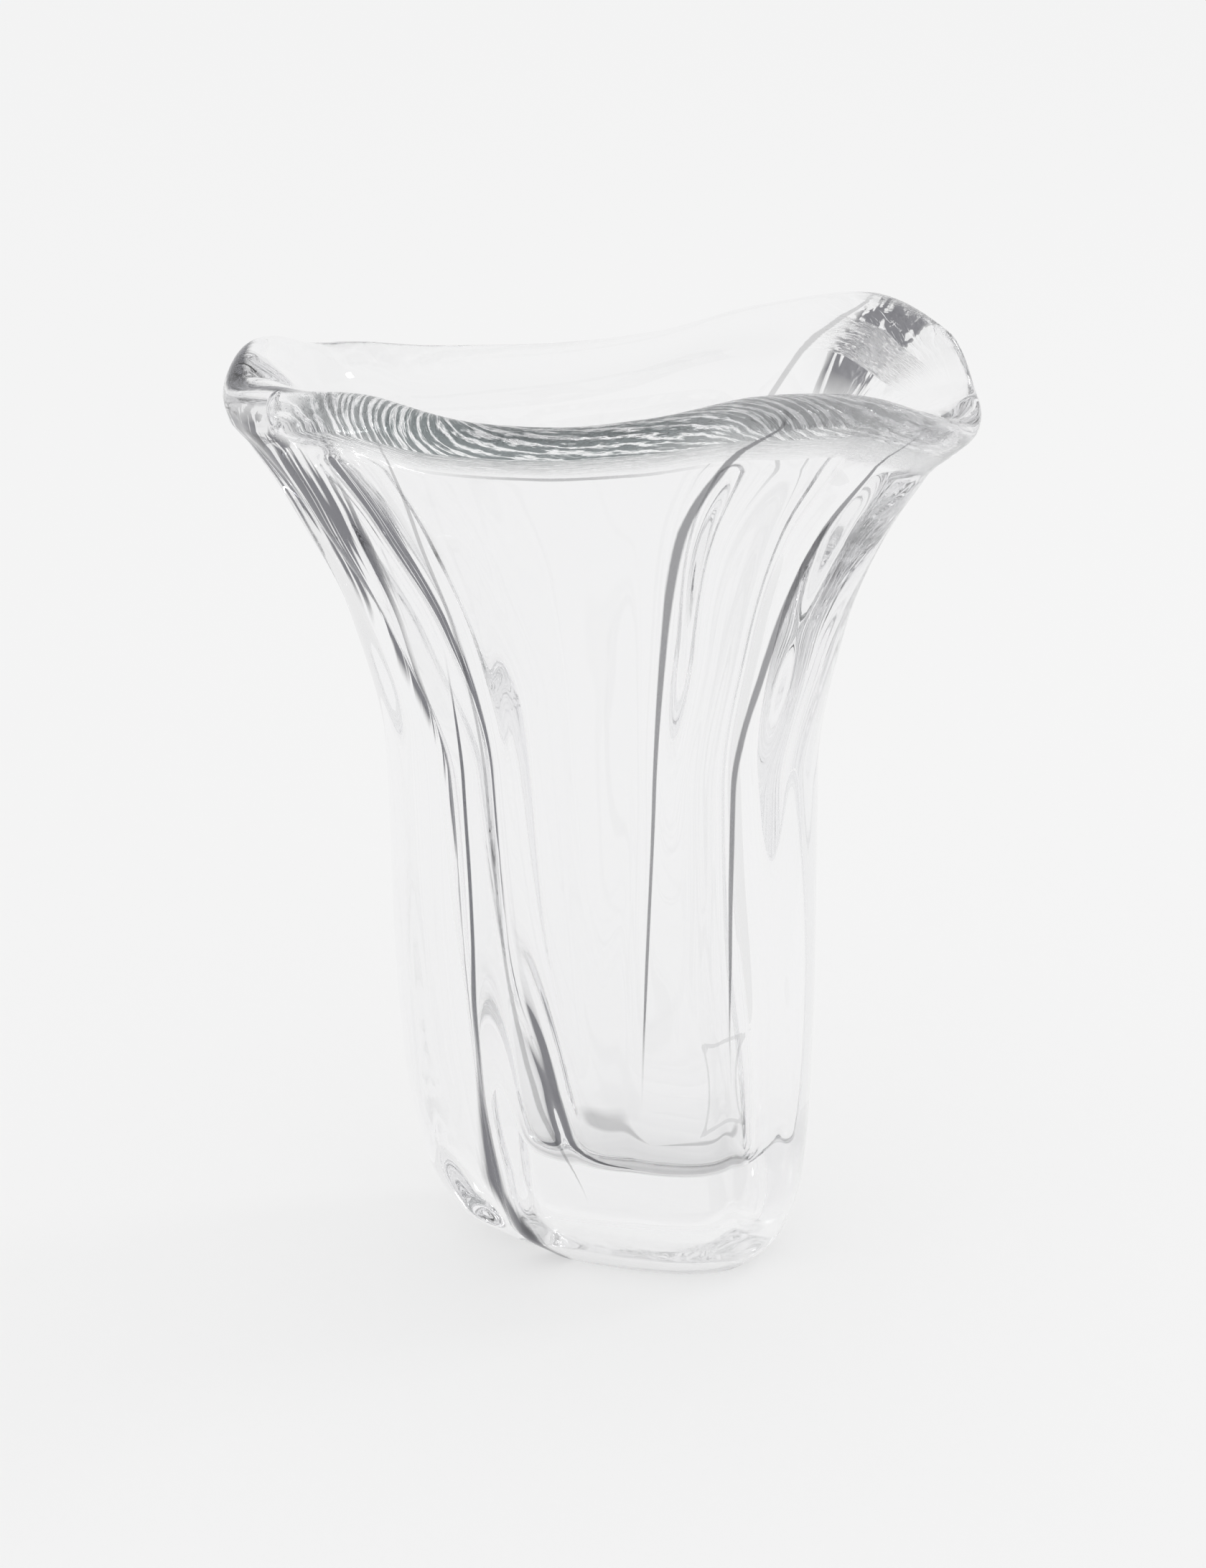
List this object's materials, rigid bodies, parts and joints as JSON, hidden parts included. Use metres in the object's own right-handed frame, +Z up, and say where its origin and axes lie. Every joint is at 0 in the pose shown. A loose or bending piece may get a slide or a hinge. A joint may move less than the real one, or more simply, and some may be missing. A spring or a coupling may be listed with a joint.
{
  "type": "glass fan vase",
  "caption": "Heavy clear glass fan vase: grooved oval body on a flat foot, solid base, and a wide flared mouth with a rounded wavy lip, to hold water and cut flowers.",
  "frame": {"origin": "on the flat foot face, under the middle of the waist", "axes": "+Z up, +X along the fan towards the end with the higher rim corner, +Y from front to back"},
  "size_m": [0.2257, 0.1161, 0.2973],
  "materials": {
    "clear_glass": "fire-polished, clear, very faint grey-green in the thick parts"
  },
  "bodies": {
    "root": {"vase_body": "clear_glass"}
  },
  "joints": []
}
